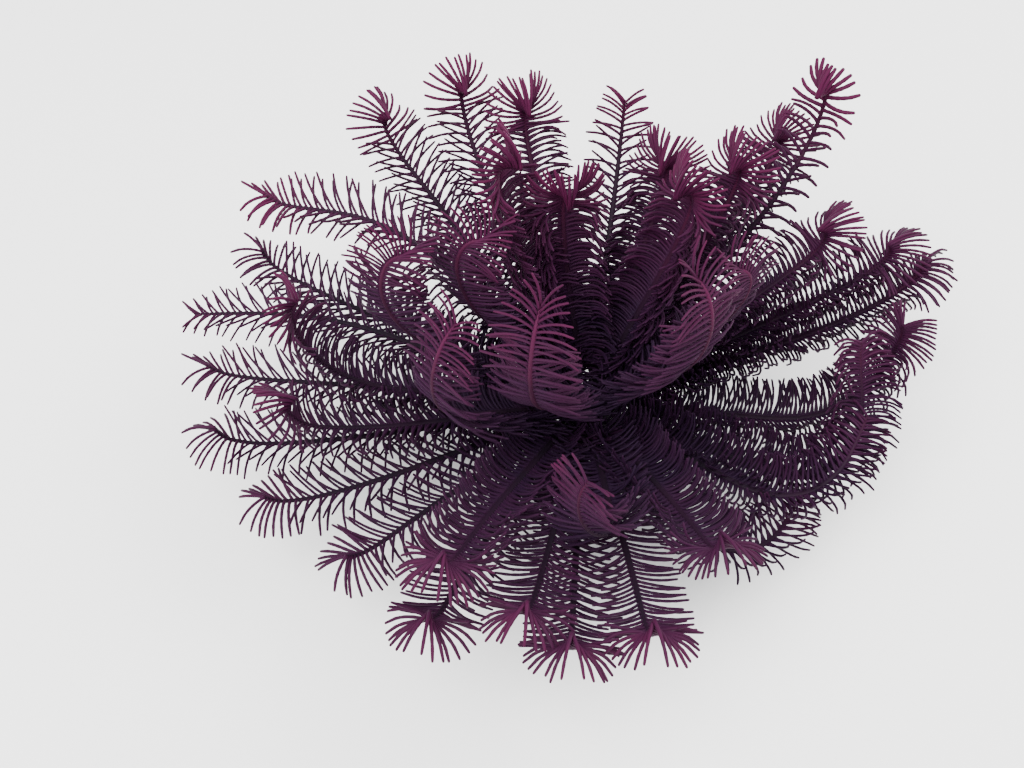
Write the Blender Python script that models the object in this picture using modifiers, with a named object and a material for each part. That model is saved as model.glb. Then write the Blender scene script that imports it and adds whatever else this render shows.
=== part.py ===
"""Black feather star: a many-armed crinoid standing on its cirri, at life size.

Metres, +Z up, the floor is z = 0. +X is the right of the view it is modelled from and
+Y points away from the viewer. Azimuths are degrees counter-clockwise from +X.
"""
import math
from itertools import combinations, product

import bmesh
import bpy
import numpy as np

NAME = "black_feather_star"
GAP = 0.0003                 # space kept between two neighbouring pieces

# Calyx: the small central body
CALYX_HEIGHT = 0.024         # centre of the sphere that the arms leave from
KNOB_RADIUS = 0.0075         # centrodorsal, the knob that carries the cirri
KNOB_BOTTOM = 0.0100
KNOB_TOP = 0.0177
PLATE_TOP = 0.0222           # top of the five ray plates
PLATE_INNER = 0.0022
PLATE_OUTER = 0.0088
PLATE_CORNERS = 5            # points on a plate's inner and outer arc
KNOB_STEPS = 16
DISC_STEPS = 12
DISC_RADIUS = 0.0046         # oral disc, the soft dome round the mouth
DISC_RISE = 0.0032
MOUTH_RADIUS = 0.0012
MOUTH_DEPTH = 0.0011

# Rays: each forks in two, and then each half carries four arms
ROOT_RADIUS = 0.026          # distance of an arm's root from the calyx centre
BRANCH_START = 0.0070        # a ray's trunk starts inside its plate
PLATE_MIDDLE = (KNOB_TOP + PLATE_TOP) / 2
FORK_RADII = (0.0115, 0.0172)
FORK_OVERLAP = 0.0008        # how far a branch starts inside the one that carries it
RAY_THICKNESS = (0.0026, 0.0023, 0.0020, 0.00152)

# Arms
STEM_BASE = 0.00152          # half the diagonal of the square stem: root, middle and tip
STEM_MIDDLE = 0.00125
STEM_TIP = 0.00070
SQUARE = math.pi / 4         # turns a four-sided section to lie flat on its sides
SPAN_LENGTH = 15.4           # millimetres of stem to one straight span, shorter toward the tip
STEM_CROWDING = 0.25         # how much closer the spans lie at the tip
STEM_END = 0.945             # where the pointed tip begins
STEM_THINS = 0.55            # where along the arm the middle thickness is
LINE_STEPS = 240             # fine steps that an arm's centre line is summed in
BEND_START, BEND_END = 0.34, 0.92    # stretch of an arm that bends and sweeps
CURL_START, CURL_END = 0.72, 1.08    # stretch that curls
TWIST_START, TWIST_END = 0.10, 0.75  # stretch that twists about its own line
TIP_REACH = 0.0120           # last stretch of an arm, which rolls in
TIP_ROLL = (57.0, 38.0)      # degrees that it rolls in, and how much more at the back than beside
WHOLE_CURL = 50.0            # degrees of curl that come with a whole roll

# Pinnules: the side branches of an arm, in two rows on each side
PINNULE_SHIFT = 0.12         # one side's sit before the middle of a span, the other's after
PINNULE_DEPTH = 0.75         # how deep a root is sunk, over half the stem's width
PINNULE_LENGTH = 0.0165
PINNULE_LENGTH_PLACES = (0.0, 0.16, 0.78, 1.0)     # along the arm, where the share of
PINNULE_LENGTH_SHARES = (0.90, 1.0, 0.95, 0.82)    # that length is given
PINNULE_RADIUS = 0.00058     # at the root
PINNULE_OVER_STEM = 0.42     # and never more than this share of the stem's
PINNULE_TAPER = 0.85         # thickness at the bend over that at the root
PINNULE_KNEE = 0.52          # where along its length a pinnule bends
PINNULE_SIDES = 3
# Degrees, each on an open arm and what is added on a plush one
PINNULE_ANGLE = (60.0, 20.0)     # from the stem at the root
PINNULE_BACK = (18.0, 12.0)      # that the outer part turns back toward the arm's root
PINNULE_CURL = (8.0, 38.0)       # that the outer part tilts further to the oral face
PINNULE_TILTS = ((4.0, -8.0), (22.0, -8.0))    # from the side to the oral face, two rows
# Crown: the pinnules spread round an axis at a rolled tip. Distances are from the tip, and the
# pairs of degrees are at the tip and at the crown's rim
TIP_PAIRS = (0.0064, 0.0022)     # places of two more pairs
CROWN_FULL, CROWN_END = 0.0100, 0.0180
CROWN_RIM = 0.0125
CROWN_ROUND = (10.0, 92.0)       # round the axis, from its top
CROWN_OPEN = (50.0, 72.0)        # from the axis at the root
CROWN_HOOK = (6.0, 26.0)         # further round by the end: at the tip, and added at the rim
CROWN_DROOP = 58.0               # further from the axis by the end
CROWN_FACING = (14.0, 24.0)      # turn of the axis from the tip's own, and added at the back
PINNULE_SHORTENED = (1.0, 0.85, 0.7, 0.55, 0.42)       # lengths and tilts tried where
PINNULE_TURNED = (0.0, 13.0, -13.0, 26.0, -26.0, 42.0) # a neighbour is in the way
PINNULE_ROOM = 1.15          # gaps that a pinnule keeps to its neighbours
PLACE_VARIES = 0.06          # part of a span
ANGLE_VARIES = 3.0           # degrees
TILT_VARIES = 4.0
LENGTH_VARIES = 0.05         # part of the length
SEED = 11

# azimuth, lift at the root, length in mm, bend up, sweep round and curl of the tip, in degrees; a
# seventh value is the twist about the arm's own line
ARMS = {
    "front": (
        (241, 9, 107, 13, 12, 64), (258, 14, 103, 17, -1, 60),
        (265, 10, 110, 20, 0, 70), (278, 12, 107, 17, -6, 70),
        (242, 21, 102, 6, 8, 60), (295, 18, 85, 12, -10, 80),
        (275, 20, 98, 64, -112, 20, -58), (247, 50, 104, 42, 6, 50),
    ),
    "left": (
        (163, 10, 128, -6, 22, 0), (180, 8, 116, 2, 4, 20),
        (193, 4, 116, 8, -2, 40), (207, 4, 102, 4, -6, 30),
        (221, 4, 89, 2, 4, 36), (185, 14, 112, 60, -14, 30),
        (197, 12, 100, 14, -4, 90), (219, 36, 98, 70, 6, 28),
    ),
    "back_left": (
        (152, 38, 120, -34, 30, 20), (156, 6, 118, 4, 0, 30),
        (130, 25, 115, 4, 6, 50), (119, 32, 110, 10, -6, 56),
        (107, 40, 95, 10, 0, 56), (186, 37, 100, 56, 0, 40, -65),
        (150, 67, 92, 8, 8, 50), (182, 54, 84, 38, 8, 62, -60),
    ),
    "back_right": (
        (80, 33, 92, 20, 2, 10), (60, 50, 78, 14, 0, 60),
        (37, 46, 88, 12, 10, 60), (46, 26, 107, 10, 0, 60),
        (36, 33, 129, 22, 14, 64), (22, 26, 91, 12, -2, 60),
        (115, 70, 74, 12, -14, 66), (33, 62, 80, 14, 0, 60),
    ),
    "right": (
        (18, 17, 108, 4, 0, 50), (12, 13, 116, 0, 14, 40),
        (354, 1, 115, 68, 44, 24), (334, 2, 120, 54, 136, 10),
        (323, 5, 102, 14, 98, 2), (302, 0, 92, 4, 116, 0),
        (312, 55, 96, 37, 0, 50), (347, 52, 80, 24, 20, 60, 50),
    ),
}

# How far each arm's pinnules droop back over it like a plume, from 0, an open comb, to 1
PLUSH = {
    "front": (0.1, 0.1, 0.1, 0.1, 0.6, 0.8, 0.9, 1.0),
    "left": (0.0, 0.0, 0.0, 0.0, 0.1, 0.6, 0.4, 1.0),
    "back_left": (0.2, 0.1, 0.3, 0.3, 0.8, 0.9, 0.9, 0.9),
    "back_right": (0.3, 1.0, 1.0, 0.8, 0.5, 0.9, 1.0, 1.0),
    "right": (0.8, 1.0, 0.8, 0.8, 0.8, 0.7, 1.0, 1.0),
}

# The arms that bend round the widest gaps are each built in two lengths, parted here
PARTED = ("front_7", "left_6", "left_8", "back_right_5", "right_3", "right_4", "right_5", "right_6")

# Cirri: the jointed legs under the calyx, four to each ray
CIRRI_PER_RAY = 4
CIRRUS_REACH = (0.0265, 0.0310)  # distance of the feet from the axis, for the two rows
CIRRUS_RISE = 0.0030             # how far a cirrus arches above its socket
CIRRUS_SOCKET_Z = (0.0156, 0.0128)
CIRRUS_BASE = 0.00110
CIRRUS_TIP = 0.00075
CIRRUS_RINGS = 5
SOCKET_OUTER = 0.0092            # outer radius of the band that the cirri grow from
SOCKET_BOTTOM = 0.0112
SOCKET_TOP = 0.0172

RAY_AZIMUTH = {"front": 268.0, "left": 196.0, "back_left": 124.0, "back_right": 52.0, "right": 340.0}
SECTOR = 72.0                    # degrees of the calyx that one ray takes

COLOURS = {
    "centrodorsal": (0.020, 0.008, 0.016),
    "oral_disc": (0.060, 0.014, 0.030),
    "ray": (0.030, 0.009, 0.020),
    "arm": (0.075, 0.010, 0.030),
    "cirri": (0.028, 0.009, 0.018),
}
ROUGHNESS = 0.6


def clear_scene():
    for old in list(bpy.data.objects):
        bpy.data.objects.remove(old, do_unlink=True)


def new_collection(name):
    collection = bpy.data.collections.new(name)
    bpy.context.scene.collection.children.link(collection)
    return collection


def material(name, colour):
    """A Principled material of one dark, slightly satin colour."""
    made = bpy.data.materials.new(name)
    made.use_nodes = True
    shader = made.node_tree.nodes["Principled BSDF"]
    shader.inputs["Base Color"].default_value = (*colour, 1.0)
    shader.inputs["Roughness"].default_value = ROUGHNESS
    shader.inputs["Metallic"].default_value = 0.0
    return made


def heading(azimuth, lift):
    """Unit vectors for angles in radians; the angles may be arrays."""
    flat = np.cos(lift)
    return np.stack([flat * np.cos(azimuth), flat * np.sin(azimuth), np.sin(lift)], axis=-1)


def unit(vector):
    return vector / np.linalg.norm(vector)


def ease(s, start, end):
    """Rises smoothly from 0 at start to 1 at end."""
    t = np.clip((s - start) / (end - start), 0.0, 1.0)
    return t * t * (3.0 - 2.0 * t)


def sections_mesh(name, rings, tip=None):
    """A closed body lofted through rings of points, ending in a flat cap or at a tip."""
    bm = bmesh.new()
    loops = [[bm.verts.new(point) for point in ring] for ring in rings]
    sides = len(loops[0])
    for low, high in zip(loops, loops[1:]):
        for i in range(sides):
            j = (i + 1) % sides
            bm.faces.new((low[i], low[j], high[j], high[i]))
    bm.faces.new(loops[0][::-1])
    if tip is None:
        bm.faces.new(loops[-1])
    else:
        end = bm.verts.new(tip)
        for i in range(sides):
            bm.faces.new((loops[-1][i], loops[-1][(i + 1) % sides], end))
    bmesh.ops.recalc_face_normals(bm, faces=bm.faces)
    mesh = bpy.data.meshes.new(name)
    bm.to_mesh(mesh)
    bm.free()
    return mesh


def ring(centre, across, up, radius, sides, turn=0.0):
    """Points of a regular section; across and up are its two axes."""
    angles = turn + np.arange(sides) * 2.0 * math.pi / sides
    return [centre + (across * math.cos(a) + up * math.sin(a)) * radius for a in angles]


def new_object(name, mesh, collection):
    made = bpy.data.objects.new(name, mesh)
    collection.objects.link(made)
    return made


def keep_largest_surface(obj):
    """Drops loose scraps and sealed hollows: only the largest closed surface stays."""
    bm = bmesh.new()
    bm.from_mesh(obj.data)
    unseen = set(bm.faces)
    surfaces = []
    while unseen:
        front = [unseen.pop()]
        surface = list(front)
        while front:
            face = front.pop()
            near = {other for edge in face.edges for other in edge.link_faces} & unseen
            unseen -= near
            front.extend(near)
            surface.extend(near)
        surfaces.append(surface)
    surfaces.sort(key=lambda faces: sum(face.calc_area() for face in faces))
    scraps = [face for surface in surfaces[:-1] for face in surface]
    bmesh.ops.delete(bm, geom=scraps, context="FACES")
    bm.to_mesh(obj.data)
    bm.free()


def join_pieces(obj, pieces, cutters, solver="EXACT"):
    """One union of the object with a collection of closed pieces, then the pieces go."""
    group = bpy.data.collections.new(obj.name + "_pieces")
    cutters.children.link(group)
    for number, mesh in enumerate(pieces):
        piece = new_object(f"{obj.name}_piece_{number}", mesh, group)
        piece.hide_render = True
        piece.display_type = "WIRE"
    union = obj.modifiers.new("join", "BOOLEAN")
    union.operation = "UNION"
    union.operand_type = "COLLECTION"
    union.collection = group
    union.solver = solver
    bpy.context.view_layer.objects.active = obj
    bpy.ops.object.modifier_apply(modifier=union.name)
    for piece in list(group.objects):
        bpy.data.objects.remove(piece, do_unlink=True)
    bpy.data.collections.remove(group)
    keep_largest_surface(obj)


def turned(name, profile, steps, collection):
    """A turned body from a profile of (radius, height) pairs, top to bottom."""
    mesh = bpy.data.meshes.new(name)
    points = [(radius, 0.0, height) for radius, height in profile]
    mesh.from_pydata(points, [(i, i + 1) for i in range(len(points) - 1)], [])
    obj = new_object(name, mesh, collection)
    screw = obj.modifiers.new("turn", "SCREW")
    screw.steps = steps
    screw.render_steps = steps
    screw.use_merge_vertices = True
    screw.merge_threshold = 0.00001
    screw.use_smooth_shade = True
    return obj


def sector_block(name, azimuth, inner, outer, low, high):
    """A block of the calyx: one ray's share of a ring, less half a gap on each side."""
    half = math.radians(SECTOR / 2)
    middle = math.radians(azimuth)
    corners = []
    for radius, order in ((inner, 1), (outer, -1)):
        trim = (GAP / 2) / radius
        arc = np.linspace(middle - half + trim, middle + half - trim, PLATE_CORNERS)[::order]
        corners += [(radius * math.cos(a), radius * math.sin(a)) for a in arc]
    rings = [[np.array((x, y, z)) for x, y in corners] for z in (low, high)]
    return sections_mesh(name, rings)


def make_centrodorsal(collection):
    """The knob under the rays: a low dome with its rounded side down."""
    height = KNOB_TOP - KNOB_BOTTOM
    waist = PLATE_INNER + (KNOB_RADIUS - PLATE_INNER) * 0.86
    profile = (
        (0.0, KNOB_TOP),
        (KNOB_RADIUS * 0.9, KNOB_TOP),
        (KNOB_RADIUS, KNOB_TOP - height * 0.12),
        (KNOB_RADIUS, KNOB_BOTTOM + height * 0.30),
        (waist, KNOB_BOTTOM + height * 0.08),
        (KNOB_RADIUS * 0.45, KNOB_BOTTOM),
        (0.0, KNOB_BOTTOM),
    )
    return turned("centrodorsal", profile, KNOB_STEPS, collection)


def make_oral_disc(collection):
    """The soft dome above the ray plates, dimpled at the mouth."""
    low = PLATE_TOP + GAP
    profile = (
        (0.0, low + DISC_RISE - MOUTH_DEPTH),
        (MOUTH_RADIUS, low + DISC_RISE - MOUTH_DEPTH * 0.2),
        (MOUTH_RADIUS * 2.0, low + DISC_RISE),
        (DISC_RADIUS * 0.62, low + DISC_RISE * 0.82),
        (DISC_RADIUS * 0.90, low + DISC_RISE * 0.48),
        (DISC_RADIUS, low + DISC_RISE * 0.18),
        (DISC_RADIUS * 0.96, low),
        (0.0, low),
    )
    return turned("oral_disc", profile, DISC_STEPS, collection)


def arm_root(arm):
    azimuth, lift = math.radians(arm[0]), math.radians(arm[1])
    return heading(azimuth, lift)


def spread(directions):
    """How far a group of arm roots is spread out."""
    return sum(np.linalg.norm(a - b) for a, b in combinations(directions, 2))


def fork(directions):
    """Splits a group of arm roots into the two halves that lie closest together."""
    count = len(directions)
    everyone = set(range(count))

    def width(group):
        others = everyone - set(group)
        return spread([directions[i] for i in group]) + spread([directions[i] for i in others])

    half = min(combinations(range(count), count // 2), key=width)
    return [directions[i] for i in half], [directions[i] for i in sorted(everyone - set(half))]


def branch_lines(directions, level, start):
    """Ends and radii of the straight branches from a fork out to each arm's stub."""
    centre = np.array((0.0, 0.0, CALYX_HEIGHT))
    reach = FORK_RADII[level] if len(directions) > 1 else ROOT_RADIUS - GAP
    end = centre + unit(np.mean(directions, axis=0)) * reach
    branches = [((start, end), RAY_THICKNESS[level:level + 2])]
    if len(directions) > 1:
        groups = fork(directions) if level == 0 else [[direction] for direction in directions]
        for group in groups:
            inside = end - unit(np.mean(group, axis=0)) * FORK_OVERLAP
            branches += branch_lines(group, level + 1, inside)
    return branches


def branch_mesh(name, ends, radii):
    """A tapered branch; a stub's outer face is square to the arm that it meets."""
    start, end = ends
    outward = end - np.array((0.0, 0.0, CALYX_HEIGHT))
    is_stub = np.linalg.norm(outward) > FORK_RADII[-1] + FORK_OVERLAP
    facing = (end - start, outward if is_stub else end - start)
    rings = []
    for point, radius, along in zip(ends, radii, facing):
        side = unit(np.cross((0.0, 0.0, 1.0), along))
        rings.append(ring(point, side, np.cross(unit(along), side), radius, 4, SQUARE))
    return sections_mesh(name, rings)


def trunk_start(ray):
    """Where a ray's trunk starts, inside its plate."""
    azimuth = math.radians(RAY_AZIMUTH[ray])
    return np.array((BRANCH_START * math.cos(azimuth), BRANCH_START * math.sin(azimuth), PLATE_MIDDLE))


def make_ray(ray, collection, cutters):
    """A ray plate with the forking branches that carry its eight arms."""
    name = "ray_" + ray
    block = sector_block(name, RAY_AZIMUTH[ray], PLATE_INNER, PLATE_OUTER, KNOB_TOP + GAP, PLATE_TOP)
    obj = new_object(name, block, collection)
    branches = branch_lines([arm_root(arm) for arm in ARMS[ray]], 0, trunk_start(ray))
    pieces = [branch_mesh(name, ends, radii) for ends, radii in branches]
    join_pieces(obj, pieces, cutters, solver="MANIFOLD")
    return obj


def from_tip(arm, distance):
    """The place on an arm that lies this far from its tip."""
    return 1.0 - distance * 1000.0 / arm[2]


def turned_to_back(arm, beside, added):
    """A value that grows toward the arms at the back, which lean into the current."""
    return beside + added * math.sin(math.radians(arm[0]))


def arm_frames(arm, s):
    """Tangent, oral normal and side vector along an arm, s from 0 at the root to 1."""
    azimuth, lift, _, bend, sweep, curl, *twist = arm
    turn = ease(s, BEND_START, BEND_END)
    around = np.radians(azimuth + sweep * turn)
    roll = turned_to_back(arm, *TIP_ROLL) * min(curl / WHOLE_CURL, 1.0)
    rolled = roll * ease(s, from_tip(arm, TIP_REACH), 1.0)
    tilt = np.radians(lift + bend * turn + curl * ease(s, CURL_START, CURL_END) + rolled)
    along = heading(around, tilt)
    oral = heading(around, tilt + math.pi / 2)
    side = np.cross(oral, along)
    twisted = np.radians(sum(twist) * ease(s, TWIST_START, TWIST_END))[..., None]
    across, up = np.cos(twisted), np.sin(twisted)
    return along, oral * across + side * up, side * across - oral * up


def arm_line(arm):
    """The centre line of an arm at fine even steps, from its root outward."""
    s = np.linspace(0.0, 1.0, LINE_STEPS + 1)
    along, _, _ = arm_frames(arm, s)
    root = np.array((0.0, 0.0, CALYX_HEIGHT)) + arm_root(arm) * ROOT_RADIUS
    steps = (along[1:] + along[:-1]) / 2 * (arm[2] / 1000.0 / LINE_STEPS)
    return np.vstack([root, root + np.cumsum(steps, axis=0)])


def stem_radius(s):
    """Half the stem's width: it thins slowly, then faster near the tip."""
    return np.interp(s, (0.0, STEM_THINS, 1.0), (STEM_BASE, STEM_MIDDLE, STEM_TIP))


def point_at(line, s):
    """The point of an arm's centre line at s."""
    steps = np.linspace(0.0, 1.0, len(line))
    return np.array([np.interp(s, steps, line[:, axis]) for axis in range(3)])


def span_count(arm):
    return round(arm[2] / SPAN_LENGTH)


def stem_stations(arm):
    """Where the stem's spans meet, closer together toward the tip."""
    even = np.linspace(0.0, 1.0, span_count(arm) + 1)
    return STEM_END * even * (1.0 + STEM_CROWDING - STEM_CROWDING * even)


def all_lengths():
    """Every arm node as name, arm, plush, first span and end of the last span."""
    for ray, arms in ARMS.items():
        for number, (arm, plush) in enumerate(zip(arms, PLUSH[ray]), start=1):
            spans = span_count(arm)
            if f"{ray}_{number}" in PARTED:
                yield f"arm_{ray}_{number}_inner", arm, plush, 0, spans // 2
                yield f"arm_{ray}_{number}_outer", arm, plush, spans // 2, spans
            else:
                yield f"arm_{ray}_{number}", arm, plush, 0, spans


def stem_places(arm, first, last):
    """Where the rings of a stem's length lie; an outer length starts a gap further on."""
    places = stem_stations(arm)[first:last + 1]
    if first > 0:
        places[0] += GAP / (arm[2] / 1000.0)
    return places


def stem_line(arm, first, last):
    """Ring centres and radii of a stem's length, with the arm's tip where it has it."""
    line = arm_line(arm)
    places = list(stem_places(arm, first, last))
    if last == span_count(arm):
        places.append(1.0)
    return [point_at(line, s) for s in places], [float(stem_radius(s)) for s in places]


def make_stem(name, arm, first, last, collection):
    """A length of an arm's stem: square in section, and pointed where it has the tip."""
    centres, radii = stem_line(arm, first, last)
    rings = []
    for centre, radius, s in zip(centres, radii, stem_places(arm, first, last)):
        _, oral, side = arm_frames(arm, s)
        rings.append(ring(centre, oral, side, radius, 4, SQUARE))
    tip = centres[-1] if last == span_count(arm) else None
    return new_object(name, sections_mesh(name, rings, tip), collection)


class Space:
    """The rods that fill the space so far: stems, branches, cirri and pinnules."""

    def __init__(self):
        self.starts, self.ends, self.radii, self.owners = [], [], [], []

    def add(self, owner, points, radii):
        """Adds the rods along a line of points; radii are those at the points."""
        for i in range(len(points) - 1):
            self.starts.append(points[i])
            self.ends.append(points[i + 1])
            self.radii.append(max(radii[i], radii[i + 1]))
            self.owners.append(owner)

    def near(self, centre, reach):
        """The rods within reach of a point, as arrays."""
        starts, ends = np.array(self.starts), np.array(self.ends)
        radii = np.array(self.radii)
        middle = (starts + ends) / 2
        room = np.linalg.norm(ends - starts, axis=1) / 2 + radii + reach
        close = np.linalg.norm(middle - centre, axis=1) < room
        return starts[close], ends[close], radii[close], np.array(self.owners)[close]


def rod_distances(low, high, starts, ends):
    """Shortest distance from the rod low-high to each of the rods starts-ends."""
    rod = high - low
    others = ends - starts
    between = low - starts
    rod_square = rod @ rod
    other_square = np.einsum("ij,ij->i", others, others)
    mixed = others @ rod
    low_part = between @ rod
    other_part = np.einsum("ij,ij->i", others, between)
    spread_out = np.maximum(rod_square * other_square - mixed ** 2, 1e-18)
    along = np.clip((mixed * other_part - other_square * low_part) / spread_out, 0.0, 1.0)
    across = np.clip((mixed * along + other_part) / other_square, 0.0, 1.0)
    along = np.clip((mixed * across - low_part) / rod_square, 0.0, 1.0)
    return np.linalg.norm(between + along[:, None] * rod - across[:, None] * others, axis=1)


def fill_space():
    """All rods of the model except the pinnules."""
    space = Space()
    for ray, arms in ARMS.items():
        for line, radii in branch_lines([arm_root(arm) for arm in arms], 0, trunk_start(ray)):
            space.add("ray_" + ray, line, radii)
        for azimuth, row in cirrus_places(ray):
            path = cirrus_path(azimuth, row)
            space.add("cirri_" + ray, path, [CIRRUS_BASE] * len(path))
    for name, arm, _, first, last in all_lengths():
        space.add(name, *stem_line(arm, first, last))
    knob = [np.array((0.0, 0.0, z)) for z in (SOCKET_BOTTOM, SOCKET_TOP)]
    space.add("centrodorsal", knob, [SOCKET_OUTER] * 2)
    return space


def pinnule_reach(s):
    """Length of a pinnule: shorter near the root and toward the arm's tip."""
    return PINNULE_LENGTH * float(np.interp(s, PINNULE_LENGTH_PLACES, PINNULE_LENGTH_SHARES))


class Lie:
    """How a pinnule lies on its arm: its angles in degrees, its length and its root radius."""

    def __init__(self, arm, s, hand, row, plush, chance):
        def lie(pair):
            return pair[0] + pair[1] * plush

        self.s, self.hand = s, hand
        self.angle = lie(PINNULE_ANGLE) + chance.uniform(-ANGLE_VARIES, ANGLE_VARIES)
        self.back = lie(PINNULE_BACK)
        self.tilt = lie(PINNULE_TILTS[row]) + chance.uniform(-TILT_VARIES, TILT_VARIES)
        self.curl = lie(PINNULE_CURL)
        self.length = pinnule_reach(s) * chance.uniform(1.0 - LENGTH_VARIES, 1.0 + LENGTH_VARIES)
        self.radius = min(PINNULE_RADIUS, PINNULE_OVER_STEM * float(stem_radius(s)))
        self.away = (1.0 - s) * arm[2] / 1000.0
        in_crown = 1.0 - float(ease(self.away, CROWN_FULL, CROWN_END))
        self.crown = in_crown * min(arm[5] / WHOLE_CURL, 1.0)


def crown_way(arm, lie, turned, t):
    """Way of a crown's pinnule at t along it, from an even spread round the crown's axis."""
    before_roll = from_tip(arm, TIP_REACH)
    along, oral, side = arm_frames(arm, before_roll)
    curl_left = arm[5] * (1.0 - ease(before_roll, CURL_START, CURL_END))
    facing = math.radians(turned_to_back(arm, *CROWN_FACING) + curl_left / 2)
    axis = along * math.cos(facing) + oral * math.sin(facing)
    top = along * math.sin(facing) - oral * math.cos(facing)
    rim = min(lie.away / CROWN_RIM, 1.0)
    around = float(np.interp(rim, (0.0, 1.0), CROWN_ROUND)) + turned
    around = math.radians(around + (CROWN_HOOK[0] + CROWN_HOOK[1] * rim) * t)
    opened = math.radians(float(np.interp(rim, (0.0, 1.0), CROWN_OPEN)) + CROWN_DROOP * t)
    flat = top * math.cos(around) + side * lie.hand * math.sin(around)
    return flat * math.sin(opened) + axis * math.cos(opened)


def pinnule_line(arm, middle, lie, turned, shortened):
    """Root, knee and tip of a pinnule whose stem has its centre at middle."""
    along, oral, side = arm_frames(arm, lie.s)
    length = lie.length * shortened
    tilt = lie.tilt + turned

    def toward(turn, lean, t):
        turn, lean = math.radians(turn), math.radians(lean)
        outward = side * lie.hand * math.cos(lean) + oral * math.sin(lean)
        way = along * math.cos(turn) + outward * math.sin(turn)
        return unit(way * (1.0 - lie.crown) + crown_way(arm, lie, turned, t) * lie.crown)

    half_width = stem_radius(lie.s) * math.cos(SQUARE)
    low = min(math.tan(math.radians(tilt)), 1.0) * half_width * PINNULE_DEPTH / 2 * (1.0 - lie.crown)
    root = middle + side * lie.hand * half_width * (1.0 - PINNULE_DEPTH) - oral * low
    knee = root + toward(lie.angle, tilt, 0.2) * length * PINNULE_KNEE
    outer = toward(lie.angle + lie.back, tilt + lie.curl, 0.8)
    return root, knee, knee + outer * length * (1.0 - PINNULE_KNEE)


def is_clear(name, points, radii, rods):
    """Whether a pinnule keeps the gap to everything near it but its own stem's root stretch."""
    starts, ends, sizes, owners = rods
    if min(points[1][2] - radii[1], points[2][2]) < GAP:
        return False
    for i in range(2):
        distance = rod_distances(points[i], points[i + 1], starts, ends)
        room = distance - sizes - radii[i]
        ours = owners == name
        if np.any(room[~ours] < GAP * PINNULE_ROOM):
            return False
        if i == 1 and np.any(room[ours] < GAP):
            return False
    return True


def fit_pinnule(name, arm, lie, space):
    """The pinnule nearest to the wished one that is clear of its neighbours, if any."""
    middle = point_at(arm_line(arm), lie.s)
    rods = space.near(middle, lie.length)
    radii = (lie.radius, lie.radius * PINNULE_TAPER, 0.0)
    tries = [
        (1.0 - shortened + abs(turned) / 90.0, shortened, turned)
        for shortened in PINNULE_SHORTENED
        for turned in PINNULE_TURNED
    ]
    for _, shortened, turned in sorted(tries):
        points = pinnule_line(arm, middle, lie, turned, shortened)
        if is_clear(name, points, radii, rods):
            space.add(name, points, radii)
            return points
    return None


def pinnule_mesh(name, points, radius):
    """A three-sided tapered spine with one bend, its root inside the stem."""
    root, knee, tip = points
    first, second = unit(knee - root), unit(tip - knee)
    bend = unit(first + second)
    up = unit(np.cross(first, second))
    low = ring(root, up, np.cross(first, up), radius, PINNULE_SIDES)
    high = ring(knee, up, np.cross(bend, up), radius * PINNULE_TAPER, PINNULE_SIDES)
    return sections_mesh(name, [low, high], tip=tip)


def plan_pinnules():
    """Every arm node's pinnules as (root, knee, tip) and radius, each clear of all others."""
    space = fill_space()
    chance = np.random.default_rng(SEED)
    plans = {name: [] for name, *_ in all_lengths()}
    most = max(last for *_, last in all_lengths())
    for span, hand in product(range(most + len(TIP_PAIRS)), (1, -1)):
        for name, arm, plush, first, last in all_lengths():
            place = 0.5 + hand * PINNULE_SHIFT + chance.uniform(-PLACE_VARIES, PLACE_VARIES)
            past_end = span - span_count(arm)
            if 0 <= past_end < len(TIP_PAIRS) and last == span_count(arm):
                s = from_tip(arm, TIP_PAIRS[past_end])
            elif first <= span < last:
                s = float(np.interp(span + place, range(span_count(arm) + 1), stem_stations(arm)))
            else:
                continue
            row = (span + (hand > 0)) % 2
            lie = Lie(arm, s, hand, row, plush, chance)
            points = fit_pinnule(name, arm, lie, space)
            if points is not None:
                plans[name].append((points, lie.radius))
    return plans


def make_arms(collection, cutters):
    """All arm nodes: each a length of stem with its pinnules joined to it."""
    plans = plan_pinnules()
    arms = []
    for name, arm, _, first, last in all_lengths():
        stem = make_stem(name, arm, first, last, collection)
        pieces = [pinnule_mesh(name, points, radius) for points, radius in plans[name]]
        join_pieces(stem, pieces, cutters)
        arms.append(stem)
    return arms


def cirrus_path(azimuth, row):
    """Centre line of a cirrus: out of its socket, over an arch and straight down to the floor."""
    reach = CIRRUS_REACH[row]
    socket = CIRRUS_SOCKET_Z[row]
    start = (KNOB_RADIUS + SOCKET_OUTER) / 2
    points = []
    for t in np.linspace(0.0, 1.0, CIRRUS_RINGS):
        out = start + (reach - start) * math.sin(t * math.pi / 2) ** 0.9
        height = socket * (1.0 - t ** 2.2) + CIRRUS_RISE * math.sin(math.pi * t) * (1.0 - t)
        points.append((out, height))
    flat = np.array((math.cos(azimuth), math.sin(azimuth), 0.0))
    return [flat * out + np.array((0.0, 0.0, height)) for out, height in points]


def cirrus_mesh(name, azimuth, row):
    path = cirrus_path(azimuth, row)
    side = np.array((-math.sin(azimuth), math.cos(azimuth), 0.0))
    rings = []
    for i, centre in enumerate(path):
        ahead = path[min(i + 1, len(path) - 1)]
        behind = path[max(i - 1, 0)]
        along = unit(ahead - behind)
        if i == len(path) - 1:
            along = np.array((0.0, 0.0, -1.0))
        t = i / (len(path) - 1)
        radius = CIRRUS_BASE + (CIRRUS_TIP - CIRRUS_BASE) * t
        rings.append(ring(centre, side, np.cross(side, along), radius, 4, SQUARE))
    return sections_mesh(name, rings)


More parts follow.
